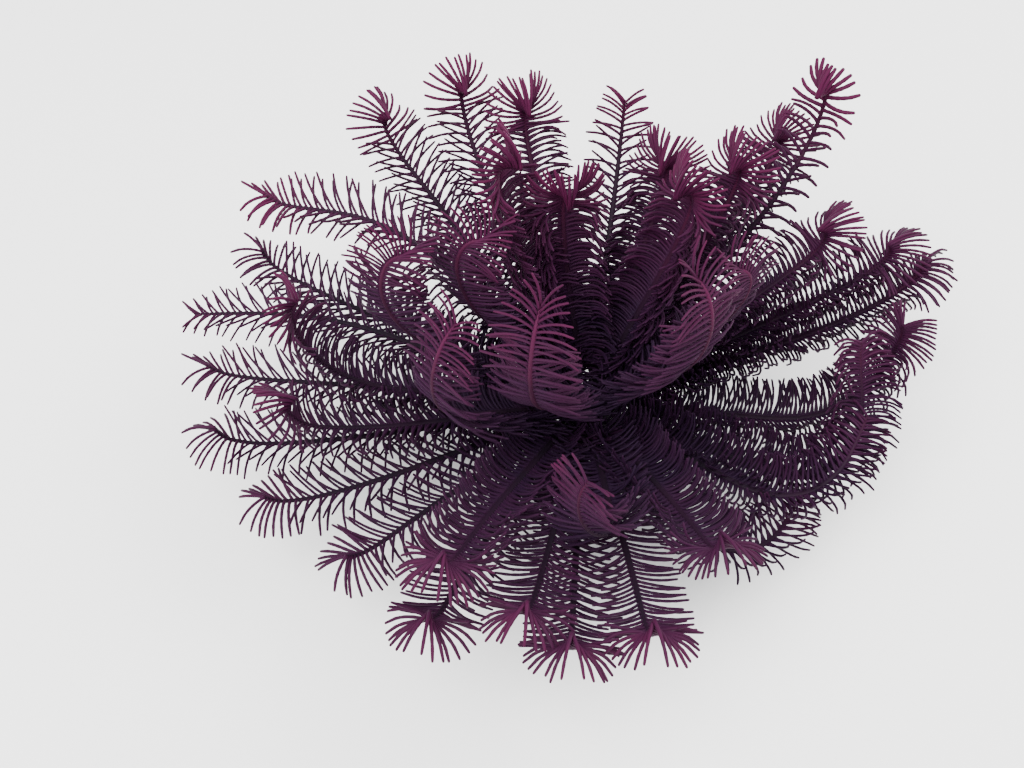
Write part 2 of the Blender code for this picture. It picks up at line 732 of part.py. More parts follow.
def cirrus_places(ray):
    """Azimuth in radians and row of each cirrus of one ray."""
    step = SECTOR / CIRRI_PER_RAY
    first = RAY_AZIMUTH[ray] - SECTOR / 2 + step / 2
    return [(math.radians(first + step * i), i % 2) for i in range(CIRRI_PER_RAY)]


def make_cirri(ray, collection, cutters):
    """One ray's share of the socket band, with its cirri."""
    name = "cirri_" + ray
    inner = KNOB_RADIUS + GAP
    band = sector_block(name, RAY_AZIMUTH[ray], inner, SOCKET_OUTER, SOCKET_BOTTOM, SOCKET_TOP)
    obj = new_object(name, band, collection)
    pieces = [cirrus_mesh(name, azimuth, row) for azimuth, row in cirrus_places(ray)]
    join_pieces(obj, pieces, cutters)
    return obj


def bounds_xy(objects):
    """Lowest and highest x and y of the evaluated objects."""
    bpy.context.view_layer.update()
    depsgraph = bpy.context.evaluated_depsgraph_get()
    points = []
    for obj in objects:
        shape = obj.evaluated_get(depsgraph)
        points += [shape.matrix_world @ vertex.co for vertex in shape.data.vertices]
    xs = [point.x for point in points]
    ys = [point.y for point in points]
    return min(xs), max(xs), min(ys), max(ys)


def centre_on_origin(objects, collection):
    """Parents everything to an empty that puts the middle of the base at the origin."""
    x_low, x_high, y_low, y_high = bounds_xy(objects)
    base = bpy.data.objects.new(NAME + "_base", None)
    collection.objects.link(base)
    for obj in objects:
        obj.parent = base
    base.location = (-(x_low + x_high) / 2, -(y_low + y_high) / 2, 0.0)


def main():
    clear_scene()
    collection = new_collection(NAME)
    cutters = new_collection("cutters")
    parts = {
        "centrodorsal": [make_centrodorsal(collection)],
        "oral_disc": [make_oral_disc(collection)],
        "ray": [make_ray(ray, collection, cutters) for ray in ARMS],
        "cirri": [make_cirri(ray, collection, cutters) for ray in ARMS],
        "arm": make_arms(collection, cutters),
    }
    for kind, objects in parts.items():
        for obj in objects:
            obj.data.materials.append(material(obj.name, COLOURS[kind]))
            obj.data.shade_smooth()
    centre_on_origin([obj for objects in parts.values() for obj in objects], collection)


main()
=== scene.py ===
"""Black feather star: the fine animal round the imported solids, with its colours, light and camera.

Metres, +Z up, the floor is z = 0. Every arm is a stem of short joints with one pinnule on each
joint, left and right in turn. The arms' pose is the solids' own: the same table and formulas.
"""
import math
from itertools import combinations
from typing import NamedTuple

import bpy
import numpy as np
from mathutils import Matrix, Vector


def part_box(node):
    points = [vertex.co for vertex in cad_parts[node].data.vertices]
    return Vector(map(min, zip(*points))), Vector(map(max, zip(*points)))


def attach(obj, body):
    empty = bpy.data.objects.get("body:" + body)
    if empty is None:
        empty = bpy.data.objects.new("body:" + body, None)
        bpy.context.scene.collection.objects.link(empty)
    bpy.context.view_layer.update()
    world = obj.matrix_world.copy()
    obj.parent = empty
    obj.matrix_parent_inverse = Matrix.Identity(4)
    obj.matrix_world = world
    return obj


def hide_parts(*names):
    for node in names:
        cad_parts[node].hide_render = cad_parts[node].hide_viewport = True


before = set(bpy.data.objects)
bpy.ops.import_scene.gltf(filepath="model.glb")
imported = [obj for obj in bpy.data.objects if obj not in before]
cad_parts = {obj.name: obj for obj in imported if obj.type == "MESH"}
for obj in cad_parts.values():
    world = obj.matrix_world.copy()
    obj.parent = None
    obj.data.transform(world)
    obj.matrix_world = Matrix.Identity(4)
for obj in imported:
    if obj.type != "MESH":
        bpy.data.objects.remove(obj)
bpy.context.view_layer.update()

SEED = 23
BODY = "root"

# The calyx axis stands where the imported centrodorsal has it
knob_low, knob_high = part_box("centrodorsal")
AXIS = np.array(((knob_low.x + knob_high.x) / 2, (knob_low.y + knob_high.y) / 2, 0.0))
CALYX_HEIGHT = 0.024
CALYX = AXIS + np.array((0.0, 0.0, CALYX_HEIGHT))
ROOT_RADIUS = 0.026       # distance of the arms' roots from the calyx centre

# Azimuth, lift at the root, length in mm, bend up, sweep round and curl of the tip, in degrees; a
# seventh value is the twist about the arm's own line
ARM_POSES = {
    "front": (
        (241, 9, 107, 13, 12, 64), (258, 14, 103, 17, -1, 60),
        (265, 10, 110, 20, 0, 70), (278, 12, 107, 17, -6, 70),
        (242, 21, 102, 6, 8, 60), (295, 18, 85, 12, -10, 80),
        (275, 20, 98, 64, -112, 20, -58), (247, 50, 104, 42, 6, 50),
    ),
    "left": (
        (163, 10, 128, -6, 22, 0), (180, 8, 116, 2, 4, 20),
        (193, 4, 116, 8, -2, 40), (207, 4, 102, 4, -6, 30),
        (221, 4, 89, 2, 4, 36), (185, 14, 112, 60, -14, 30),
        (197, 12, 100, 14, -4, 90), (219, 36, 98, 70, 6, 28),
    ),
    "back_left": (
        (152, 38, 120, -34, 30, 20), (156, 6, 118, 4, 0, 30),
        (130, 25, 115, 4, 6, 50), (119, 32, 110, 10, -6, 56),
        (107, 40, 95, 10, 0, 56), (186, 37, 100, 56, 0, 40, -65),
        (150, 67, 92, 8, 8, 50), (182, 54, 84, 38, 8, 62, -60),
    ),
    "back_right": (
        (80, 33, 92, 20, 2, 10), (60, 50, 78, 14, 0, 60),
        (37, 46, 88, 12, 10, 60), (46, 26, 107, 10, 0, 60),
        (36, 33, 129, 22, 14, 64), (22, 26, 91, 12, -2, 60),
        (115, 70, 74, 12, -14, 66), (33, 62, 80, 14, 0, 60),
    ),
    "right": (
        (18, 17, 108, 4, 0, 50), (12, 13, 116, 0, 14, 40),
        (354, 1, 115, 68, 44, 24), (334, 2, 120, 54, 136, 10),
        (323, 5, 102, 14, 98, 2), (302, 0, 92, 4, 116, 0),
        (312, 55, 96, 37, 0, 50), (347, 52, 80, 24, 20, 60, 50),
    ),
}
# Arms whose solids are in two lengths
PARTED = ("front_7", "left_6", "left_8", "back_right_5", "right_3", "right_4", "right_5", "right_6")
# How far each arm's pinnules droop back over it like a plume, from 0, an open comb, to 1
PLUSH = {
    "front": (0.1, 0.1, 0.1, 0.1, 0.6, 0.8, 0.9, 1.0),
    "left": (0.0, 0.0, 0.0, 0.0, 0.1, 0.6, 0.4, 1.0),
    "back_left": (0.2, 0.1, 0.3, 0.3, 0.8, 0.9, 0.9, 0.9),
    "back_right": (0.3, 1.0, 1.0, 0.8, 0.5, 0.9, 1.0, 1.0),
    "right": (0.8, 1.0, 0.8, 0.8, 0.8, 0.7, 1.0, 1.0),
}
# Palms, whose tips end in a small star and not in a crown: the length of their last pinnules as
# a share of those in a crown, and the share of the usual curl
PALMS = {
    "front_7": (0.72, 0.35),
    "front_8": (0.74, 0.45),
    "left_8": (0.76, 0.50),
    "right_7": (0.76, 0.55),
    "right_8": (0.80, 0.70),
    "back_left_6": (0.85, 0.70),
    "back_left_8": (0.85, 0.70),
}
# Factors for the spacing, thickness and length of the pinnules of arms that differ from the others
USUAL, DENSE, FINE = (1.0, 1.0, 1.0), (0.85, 1.0, 1.0), (1.0, 0.90, 1.0)
OWN_PINNULES = {
    "front_7": (1.20, 1.0, 1.0), "front_8": (1.35, 1.0, 1.0),
    "left_1": FINE, "left_2": FINE, "left_3": FINE, "left_8": (1.35, 1.0, 1.0),
    "back_left_5": DENSE, "back_left_6": DENSE, "back_left_7": DENSE, "back_left_8": DENSE,
    "back_right_1": (1.25, 1.0, 0.88), "back_right_2": DENSE, "back_right_4": DENSE,
    "back_right_5": (1.9, 1.35, 0.80), "back_right_6": DENSE, "back_right_7": DENSE,
    "back_right_8": DENSE,
    "right_1": DENSE, "right_2": DENSE, "right_3": DENSE, "right_4": DENSE,
    "right_7": (1.25, 1.0, 1.0),
}

# Pose of the arms, with s along an arm from 0 at its root to 1 at its tip
BEND_STRETCH = (0.34, 0.92)     # s where an arm bends and sweeps
CURL_STRETCH = (0.72, 1.08)     # s where it curls, which its tip cuts short
TWIST_STRETCH = (0.10, 0.75)    # s where it twists
TIP_REACH = 0.0120              # last stretch of an arm, which rolls in
TIP_ROLL = (57.0, 38.0)         # degrees that it rolls in beside, and how much more at the back
WHOLE_CURL = 50.0               # degrees of curl that come with a whole roll and a whole crown
LINE_STEPS = 400                # steps of an arm's centre line

# Stem: short discs, each with one pinnule, crowded at the tip
JOINT_LENGTH = (0.00112, -0.00057)  # on an open arm, and what is added on a plush one
INNER_DENSER = 0.30             # share that joints are shorter on the inner part of a plush arm
INNER_STRETCH = (0.42, 0.78)    # where along the arm the inner part fades out
PLUSH_ENOUGH = 0.3              # from here on an arm has all of that
FAN_REACH = 0.0100              # stretch at an arm's tip where the pinnules spread as a fan
CROWDED_JOINT = 0.00074         # length of the joints at the very tip
CROWDING_REACH = 1.4 * FAN_REACH
STEM_PLACES = (0.0, 0.55, 0.93, 1.0)
STEM_RADII = (0.00132, 0.00108, 0.00070, 0.00040)
STEM_SIDES = 12
STEM_FLATNESS = 0.90            # depth from the oral side, over the width
GROOVE_DEPTH = 0.26             # of the groove along the oral side, as a share of the radius
GROOVE_WIDTH = 0.42             # in radians
JOINT_WAIST = 0.08              # share that a stem narrows between its joints
SOCKET_BULGE = 0.14             # where a joint carries its pinnule
STEM_RUN_IN = 0.0011            # how far a stem starts inside its ray's stub

# Pinnules
PINNULE_SIDES = 6
PINNULE_RINGS = 12
PINNULE_LENGTH = 0.0165
PINNULE_LENGTH_PLACES = (0.0, 0.16, 0.80, 1.0)
PINNULE_LENGTH_SHARES = (1.05, 1.0, 0.97, 0.92)
PINNULE_LENGTH_VARIES = (0.94, 1.05)  # lowest and highest share by chance
STRAIGHT_TIP = 0.62             # length of the last pinnules of an arm without a curl, to a crown's
LAST_START = 0.78               # s where pinnules start to take on the length of the last ones
PINNULE_RADIUS = 0.00054
PINNULE_ROOT = 0.45             # share of the stem's radius where a pinnule starts
PINNULE_TIP = (0.955, 0.988, 1.0)  # places of the last rings, which round the tip
PROFILE_PLACES = (0.0, 0.10, 0.5, 0.93, *PINNULE_TIP)
PROFILE_SHARES = (1.15, 1.0, 0.96, 0.86, 0.80, 0.55, 0.12)
PINNULE_BEADS = 0.06            # share that its joints swell and narrow
PLUSH_THINNER = 0.11            # share that pinnules are thinner on a plush arm
PINNULE_START = 0.0150          # distance of the innermost pinnules from the calyx centre
ORAL_REACH = 0.0330             # those nearer than this rise over the mouth
ORAL_TILT = 30.0
# For the two rows of a side: angle from the stem at the root, how far it turns back by the
# end, tilt to the oral face and curl, each on an open arm and what is added on a plush one
ROOT_ANGLES = ((58.0, 14.0), (42.0, 22.0))
RECURVES = ((20.0, 32.0), (14.0, 30.0))
TILTS = ((0.0, -6.0), (18.0, 0.0))
CURLS = ((2.0, 88.0), (6.0, 74.0))
# Powers of the way along a pinnule with which it turns back, curls and hooks
TURN_POWER, CURL_POWER, HOOK_POWER = 0.9, 1.3, 1.4
# Degrees that these vary, once smoothly along the arm and once from pinnule to pinnule
ROOT_VARIES, END_VARIES, TILT_VARIES, CURL_VARIES = 2.5, 6.0, 3.0, 5.0
PLUSH_LOOSER = 2.2              # how much more a plush plume's pinnules vary one by one
DRIFT_TURNS = (3.0, 11.0)       # waves along an arm of the smooth change
DRIFT_WAVES = 4                 # how many of them are added up

# Crown, which the pinnules of a rolled tip make. A pair is for the tip and for the crown's rim,
# in degrees. round: angle round the crown's axis; hook: what a pinnule adds to it on its way;
# open: angle from the axis; droop: what a pinnule adds to that; crowd: a power, under 1 where
# the pinnules crowd toward the rim; thicker: share that they are thicker; darker: tone that all
# pinnules of the arm lack. The star is the crown of a palm.
BACK_CROWN = {"round": (0.0, 114.0), "hook": (-2.0, -68.0), "open": (44.0, 66.0), "droop": 56.0,
              "crowd": 1.0, "thicker": 0.20, "darker": 0.0}
FRONT_CROWN = {"round": (4.0, 112.0), "hook": (-4.0, -62.0), "open": (40.0, 70.0), "droop": 52.0,
               "crowd": 0.75, "thicker": 0.20, "darker": 0.0}
STAR = {"round": (60.0, 92.0), "hook": (0.0, 0.0), "open": (8.0, 88.0), "droop": 34.0,
        "crowd": 1.0, "thicker": -0.08, "darker": 0.13}
IN_FRONT = -0.4                 # sine of the azimuth, up to which an arm is in front
CROWN_FACING = (14.0, 24.0)     # turn of the axis from the tip's own beside, and added at the back
CROWN_RIM = 1.25                # distance of the rim from the tip, over FAN_REACH
CROWN_END = 1.8                 # distance over FAN_REACH where the crown has ended
FLAT_CROWN = 0.25               # how much of a crown an arm without a curl has
ROUND_VARIES, OPEN_VARIES = 3.0, 5.0  # degrees, from pinnule to pinnule

# Tone, from 0, black purple, to 1, burgundy. A rise is its size, its start and its end
TONE_START = 0.06
PAINTED_TOP_LIGHT = (0.48, 0.035, 0.125)  # painted light from above: brighter with the height above the floor
TONE_MIDDLE = (0.16, 0.10, 0.55)  # with s, on the inner part of an arm
TONE_TIP = (0.36, 0.66, 1.0)    # and toward its tip
STEM_TONE = (0.35, 0.65)        # share of it on the stem of an open arm, and added on a plush one
PINNULE_TONE = 0.10             # what a pinnule adds along its length
PLUSH_DARKER = 0.12             # tone that pinnules lack on a plush arm
TONE_VARIES = 0.05              # from pinnule to pinnule

# Bake map of a plume: the stem unwrapped, u along it and v round it
MAP_EDGE = 0.01
PATCH = 0.003                   # size of a pinnule's patch, at its root's place
SIDE_PLACES = (0.25, 0.75)      # v of the left and the right pinnules
ROWS_APART = 0.04               # v between the two rows of a side

# Calyx and rays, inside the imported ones
KNOB_RADIUS = 0.0090
KNOB_MIDDLE = 0.0135            # height where its round underside becomes a wall
KNOB_ROOM = (0.0002, 0.0003)    # above its solid's underside and below the plates
KNOB_RINGS = (22, 30)           # on the underside and on the wall
KNOB_SIDES = 240
KNOB_ROUNDNESS = 0.6            # power that makes the underside fuller than a ball
KNOB_SHOULDER = (0.985, 0.95, 0.88)  # shares of the radius at its last rings
KNOB_POLE = 0.00001             # radius of its lowest ring
KNOB_SOCKETS = 20               # sockets round the knob in each of its rows
SOCKET_RADIUS = 0.0010
SOCKET_DEPTH = 0.0004
SOCKET_RIM = (0.35, 1.4, 0.3)   # height over the depth, distance and width over the radius
DISC_RADIUS = 0.0050
DISC_RISE = 0.0034
# Profile of the oral disc from its edge to its mouth, over its radius and its rise
DISC_OUT = (1.0, 1.0, 0.97, 0.90, 0.80, 0.68, 0.56, 0.44, 0.34, 0.26, 0.20, 0.15, 0.11, 0.06)
DISC_UP = (0.0, 0.16, 0.34, 0.55, 0.75, 0.89, 0.97, 1.0, 0.98, 0.90, 0.74, 0.55, 0.42, 0.38)
DISC_SIDES = 160
DISC_GROOVE = (0.22, 0.13)      # depth over the rise, and width in radians
GROOVE_EDGE = (0.3, 0.9)        # share of the rise where a groove starts and where it is whole
GROOVE_MOUTH = (0.10, 0.3)      # share of the radius where it ends at the mouth and is whole
RAY_AZIMUTH = {"front": 268.0, "left": 196.0, "back_left": 124.0, "back_right": 52.0, "right": 340.0}
SECTOR = 72.0                   # degrees of the calyx that belong to one ray
RAY_START = 0.0065              # where the rays part, inside their plates
PLATE_LOW, PLATE_HIGH = 0.0180, 0.0222
PLATE_INNER, PLATE_OUTER = 0.0024, 0.0086
PLATE_WIDTH = 0.94              # share of its sector that a plate fills
PLATE_STEPS = 9
PLATE_LEFT = 0.0125             # where a ray's line has left the level of its plate
FORKS = ((0.0095, 0.0150), (0.0140, 0.0225))  # stretches where a ray parts in two, then in four
RAY_PLACES = (RAY_START, 0.0115, 0.0172, 0.0262)
RAY_RADII = (0.0024, 0.0021, 0.0017, 0.0013)
RAY_RINGS = 44
RAY_SIDES = 16
OSSICLE_LENGTH = 0.0012         # the short stout joints of the rays
OSSICLE_SWELL = 0.10
VOXEL = 0.00034                 # grid on which a ray's pieces are fused

# Cirri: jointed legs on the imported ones' path
CIRRI_PER_RAY = 4
CIRRUS_REACH = (0.0265, 0.0310)  # of the claws in the two rows, from the calyx axis
CIRRUS_RISE = 0.0030
CIRRUS_SOCKET_Z = (0.0156, 0.0128)
CIRRUS_START = 0.0083
CIRRUS_ARCH = (0.9, 2.2)        # powers with which it goes out and comes down
CIRRUS_JOINTS = 22
CIRRUS_JOINT_RINGS = 4
CIRRUS_WAIST = (0.13, 0.6)      # share that it narrows between joints, and the joints' fullness
CIRRUS_RADII = (0.00105, 0.00066)
CIRRUS_SIDES = 12
CLAW_SHARE = 0.05               # part of a cirrus that is its pointed claw
CLAW_THINNER = 0.80             # share that it is thinner at its point

# Colours of the skins by tone
PINNULE_STOPS = (
    (0.00, (0.0105, 0.0034, 0.0130)),
    (0.35, (0.0215, 0.0044, 0.0180)),
    (0.70, (0.0285, 0.0041, 0.0187)),
    (1.00, (0.0480, 0.0042, 0.0235)),
)
STEM_STOPS = (
    (0.00, (0.0070, 0.0038, 0.0078)),
    (0.35, (0.0130, 0.0035, 0.0110)),
    (0.70, (0.0300, 0.0045, 0.0160)),
    (1.00, (0.0450, 0.0052, 0.0230)),
)
CALYX_STOPS = (
    (0.00, (0.0060, 0.0035, 0.0075)),
    (0.50, (0.0130, 0.0050, 0.0110)),
    (1.00, (0.0300, 0.0080, 0.0180)),
)
CIRRUS_STOPS = (
    (0.00, (0.0070, 0.0035, 0.0060)),
    (0.50, (0.0200, 0.0060, 0.0110)),
    (1.00, (0.0450, 0.0120, 0.0200)),
)
# Finish of all skins
MOTTLE_SCALE = 90.0             # patches in a metre
MOTTLE_TONE = 0.5               # range of tone that they spread over
GRAIN_SIZE = 0.00035
GRAIN_HEIGHT = 0.0001
GRAIN_STRENGTH = 0.35
ROUGHNESS = (0.42, 0.68)
SPECULAR = 0.06
SHEEN = 0.015
SHEEN_ROUGHNESS = 0.45
SHEEN_TINT = (0.80, 0.40, 0.70, 1.0)

# Studio
FLOOR_SIZE = 6.0
FLOOR_COLOUR = (0.86, 0.85, 0.83, 1.0)
FLOOR_ROUGHNESS = 0.9
SKY_COLOUR = (0.93, 0.95, 1.0, 1.0)
SKY_STRENGTH = 2.0

# Camera: the photo looks down at the calyx from the front
PICTURE = (1024, 768)
CALYX_PIXEL = (585, 405)
CAMERA_LIFT = math.radians(52.0)
METRES_PER_PIXEL = 0.00038      # at the calyx
LENS_PIXELS = 1195.0            # focal length
SENSOR = 36.0


class Arm(NamedTuple):
    """An arm's pose, in degrees, and its length."""

    azimuth: float
    lift: float
    length_mm: float
    bend: float
    sweep: float
    curl: float
    twist: float = 0.0

    @property
    def length(self):
        return self.length_mm / 1000.0

    @property
    def curled(self):
        """How far its tip has a whole roll and a whole crown, from 0 to 1."""
        return min(self.curl / WHOLE_CURL, 1.0)

    @property
    def behind(self):
        """1 at the back, 0 beside and -1 in front."""
        return math.sin(math.radians(self.azimuth))


ARMS = {ray: [Arm(*pose) for pose in poses] for ray, poses in ARM_POSES.items()}


class Traits:
    """How one arm's plume differs from the others."""

    def __init__(self, name, arm, plush):
        self.plush = plush
        usual = (1.0 + (STRAIGHT_TIP - 1.0) * (1.0 - arm.curled), 1.0)
        self.tip_length, self.curl = PALMS.get(name, usual)
        crown = FRONT_CROWN if arm.behind < IN_FRONT else BACK_CROWN
        self.crown = STAR if name in PALMS else crown
        self.spacing, self.thickness, self.lengthened = OWN_PINNULES.get(name, USUAL)


def heading(azimuth, lift):
    """Unit vectors for angles in radians; the angles may be arrays."""
    flat = np.cos(lift)
    return np.stack([flat * np.cos(azimuth), flat * np.sin(azimuth), np.sin(lift)], axis=-1)


def unit(vectors):
    return vectors / np.linalg.norm(vectors, axis=-1, keepdims=True)


def ease(s, start, end):
    """Rises smoothly from 0 at start to 1 at end."""
    t = np.clip((s - start) / (end - start), 0.0, 1.0)
    return t * t * (3.0 - 2.0 * t)


def in_turn(numbers):
    """1 for even numbers and -1 for odd ones."""
    return np.where(numbers % 2 == 0, 1.0, -1.0)


def ring_angles(sides):
    return np.arange(sides) * 2.0 * math.pi / sides


def apart(angles, middle):
    """How far angles are from a middle one, between -pi and pi."""
    return (angles - middle + math.pi) % (2.0 * math.pi) - math.pi


def arm_frames(arm, s):
    """Tangent, oral normal and side vector along an arm."""
    turn = ease(s, *BEND_STRETCH)
    around = np.radians(arm.azimuth + arm.sweep * turn)
    roll = arm.curled * (TIP_ROLL[0] + TIP_ROLL[1] * arm.behind)
    rolled = roll * ease(s, 1.0 - TIP_REACH / arm.length, 1.0)
    tilt = np.radians(arm.lift + arm.bend * turn + arm.curl * ease(s, *CURL_STRETCH) + rolled)
    along = heading(around, tilt)
    oral = heading(around, tilt + math.pi / 2)
    side = np.cross(oral, along)
    twisted = np.radians(arm.twist * ease(s, *TWIST_STRETCH))[..., None]
    across, up = np.cos(twisted), np.sin(twisted)
    return along, oral * across + side * up, side * across - oral * up


def arm_root(arm):
    return heading(math.radians(arm.azimuth), math.radians(arm.lift))


def arm_line(arm):
    """The centre line of an arm at fine even steps, from its root outward."""
    s = np.linspace(0.0, 1.0, LINE_STEPS + 1)
    along, _, _ = arm_frames(arm, s)
    root = CALYX + arm_root(arm) * ROOT_RADIUS
    steps = (along[1:] + along[:-1]) / 2 * (arm.length / LINE_STEPS)
    return np.vstack([root, root + np.cumsum(steps, axis=0)])


def points_at(line, arm, s):
    """Points of an arm's centre line; below s = 0 it runs straight on toward the calyx."""
    steps = np.linspace(0.0, 1.0, len(line))
    inside = np.stack([np.interp(s, steps, line[:, axis]) for axis in range(3)], axis=-1)
    before = np.minimum(s, 0.0) * arm.length
    return inside + before[:, None] * arm_root(arm)


def tube_points(centres, across, up, radii, sides):
    """Points of tubes, shaped (..., rings, sides, 3); radii may vary round the ring."""
    angles = ring_angles(sides)
    if radii.ndim == centres.ndim - 1:
        radii = radii[..., None]
    round_ring = (across[..., None, :] * np.cos(angles)[:, None]
                  + up[..., None, :] * np.sin(angles)[:, None])
    return centres[..., None, :] + round_ring * radii[..., None]


def tube_faces(count, rings, sides):
    """Quads of tubes laid one after another, and each corner's tube, ring and side number."""
    tube, low, i = np.meshgrid(
        np.arange(count), np.arange(rings - 1), np.arange(sides), indexing="ij")
    start = (tube * rings + low) * sides
    j = (i + 1) % sides
    quads = np.stack([start + i, start + j, start + sides + j, start + sides + i], axis=-1)
    number = np.repeat(tube[..., None], 4, axis=-1)
    ring = np.stack([low, low, low + 1, low + 1], axis=-1)
    side = np.stack([i, i + 1, i + 1, i], axis=-1)
    return tuple(part.reshape(-1, 4) for part in (quads, number, ring, side))


def cap_faces(count, rings, sides):
    """The same for quads that close both ends of the tubes, for an even number of sides."""
    first = np.arange(1, sides - 2, 2)[:, None]
    corners = np.concatenate([np.zeros_like(first), first + np.arange(3)], axis=-1)
    side = np.broadcast_to(corners, (count, *corners.shape))
    tube = np.arange(count)[:, None, None]
    base = side + tube * rings * sides
    quads = np.stack([base[..., ::-1], base + (rings - 1) * sides])
    number = np.broadcast_to(tube, quads.shape)
    ring = np.broadcast_to(np.array((0, rings - 1))[:, None, None, None], quads.shape)
    side = np.stack([side[..., ::-1], side])
    return tuple(part.reshape(-1, 4) for part in (quads, number, ring, side))


class Shape:
    """Points, quads, bake map corners, skins and tones of one piece."""

    def __init__(self):
        self.points, self.quads, self.uvs, self.skins, self.tones = [], [], [], [], []
        self.count = 0

    def add_tubes(self, points, u, v, tone=0.0, skin=0):
        """Adds tubes of shape (count, rings, sides, 3); u and v map a corner to the bake map."""
        count, rings, sides = points.shape[:3]
        walls = tube_faces(count, rings, sides)
        caps = cap_faces(count, rings, sides)
        quads, tube, ring, side = (np.concatenate(pair) for pair in zip(walls, caps))
        self.points.append(points.reshape(-1, 3))
        self.quads.append(quads + self.count)
        self.skins.append(np.full(len(quads), skin))
        self.uvs.append(np.stack([u(tube, ring, side), v(tube, ring, side)], axis=-1))
        self.tones.append(np.broadcast_to(tone, points.shape[:3]).ravel())
        self.count += count * rings * sides

    def piece(self, name, *looks):
        """Makes the object, with the bake map and the tones that its material reads."""
        mesh = bpy.data.meshes.new(name)
        points = np.concatenate(self.points)
        quads = np.concatenate(self.quads)
        mesh.vertices.add(len(points))
        mesh.vertices.foreach_set("co", points.astype(np.float32).ravel())
        mesh.loops.add(quads.size)
        mesh.loops.foreach_set("vertex_index", quads.astype(np.int32).ravel())
        mesh.polygons.add(len(quads))
        mesh.polygons.foreach_set("loop_start", np.arange(0, quads.size, 4, dtype=np.int32))
        mesh.update(calc_edges=True)
        layer = mesh.uv_layers.new(name="OFBake")
        layer.uv.foreach_set("vector", np.concatenate(self.uvs).astype(np.float32).ravel())
        tones = mesh.attributes.new("tone", "FLOAT", "POINT")
        tones.data.foreach_set("value", np.concatenate(self.tones).astype(np.float32))
        for look in looks:
            mesh.materials.append(look)
        mesh.polygons.foreach_set("material_index", np.concatenate(self.skins).astype(np.int32))
        mesh.validate()
        mesh.shade_smooth()
        obj = bpy.data.objects.new(name, mesh)
        bpy.context.scene.collection.objects.link(obj)
        return obj


def drift(chance, s, size):
    """Smooth random change along an arm, so that neighbouring pinnules lean alike."""
    phases = chance.uniform(0.0, 2.0 * math.pi, DRIFT_WAVES)
    turns = chance.uniform(*DRIFT_TURNS, DRIFT_WAVES)
    total = sum(np.sin(2.0 * math.pi * turn * s + phase) for turn, phase in zip(turns, phases))
    return size * total / math.sqrt(DRIFT_WAVES)


def risen(place, rise):
    """What a rise of a size, from its start to its end, has added at a place."""
    size, start, end = rise
    return size * ease(place, start, end)


def tone_with_painted_light(height, s):
    """Tone at a height and a place on an arm: brighter upward, which is painted light from above,
    and toward the tips.
    """
    tone = TONE_START + risen(s, TONE_MIDDLE) + risen(height, PAINTED_TOP_LIGHT) + risen(s, TONE_TIP)
    return np.clip(tone, 0.0, 1.0)


def joint_ends(arm, traits):
    """Where the arm's joints meet, as s: from inside the ray to the tip, closer there."""
    place = np.linspace(PINNULE_START - ROOT_RADIUS, arm.length, 4 * LINE_STEPS)
    denser = INNER_DENSER * min(traits.plush / PLUSH_ENOUGH, 1.0)
    inner = 1.0 - ease(place, *(share * arm.length for share in INNER_STRETCH))
    middle = JOINT_LENGTH[0] + JOINT_LENGTH[1] * traits.plush
    middle = middle * (1.0 - denser * inner) * traits.spacing
    crowded = np.minimum(middle, CROWDED_JOINT)
    size = middle + (crowded - middle) * ease(place, arm.length - CROWDING_REACH, arm.length)
    number = np.concatenate([[0.0], np.cumsum(np.diff(place) / size[1:])])
    joints = int(number[-1])
    evenly = np.arange(joints + 1) * number[-1] / joints
    return np.interp(evenly, number, place) / arm.length


def on_map(share):
    """Place on the bake map, clear of its edge, for a share from 0 to 1."""
    return MAP_EDGE + (1.0 - 2.0 * MAP_EDGE) * share


def add_stem(shape, arm, traits, line):
    """The arm's jointed stem, from just inside its ray's stub to the tip."""
    ends = joint_ends(arm, traits)
    ends = ends[ends > -STEM_RUN_IN / arm.length]
    rings = 2 * len(ends) - 1
    number = np.arange(rings)
    s = np.interp(number / 2, np.arange(len(ends)), ends)
    along, oral, side = arm_frames(arm, s)
    centres = points_at(line, arm, s)
    is_waist = number % 2 == 0
    radius = np.interp(s, STEM_PLACES, STEM_RADII) * np.where(is_waist, 1.0 - JOINT_WAIST, 1.0)
    angles = ring_angles(STEM_SIDES)
    groove = 1.0 - GROOVE_DEPTH * np.exp(-(apart(angles, 0.0) / GROOVE_WIDTH) ** 2)
    bulge = np.clip(in_turn(number // 2)[:, None] * np.sin(angles)[None, :], 0.0, 1.0) ** 3
    bulge = np.where(is_waist[:, None], 0.0, SOCKET_BULGE * bulge)
    flat = np.sqrt((np.cos(angles) * STEM_FLATNESS) ** 2 + np.sin(angles) ** 2)
    radii = radius[:, None] * groove[None, :] * flat[None, :] * (1.0 + bulge)
    points = tube_points(centres, oral, side, radii, STEM_SIDES)
    # The stem's tone holds painted light from above: it is brighter where the stem is higher above
    # the floor
    tone = tone_with_painted_light(centres[:, 2], s) * (STEM_TONE[0] + STEM_TONE[1] * traits.plush)
    shape.add_tubes(
        points[None],
        lambda tube, ring, corner: on_map(ring / (rings - 1)),
        lambda tube, ring, corner: on_map(corner / STEM_SIDES),
        tone[None, :, None])


def by_row(row, pair, plush):
    """A value for each pinnule from its row and from how plush its arm is."""
    open_arm, added = np.array(pair).T
    return open_arm[row] + added[row] * plush


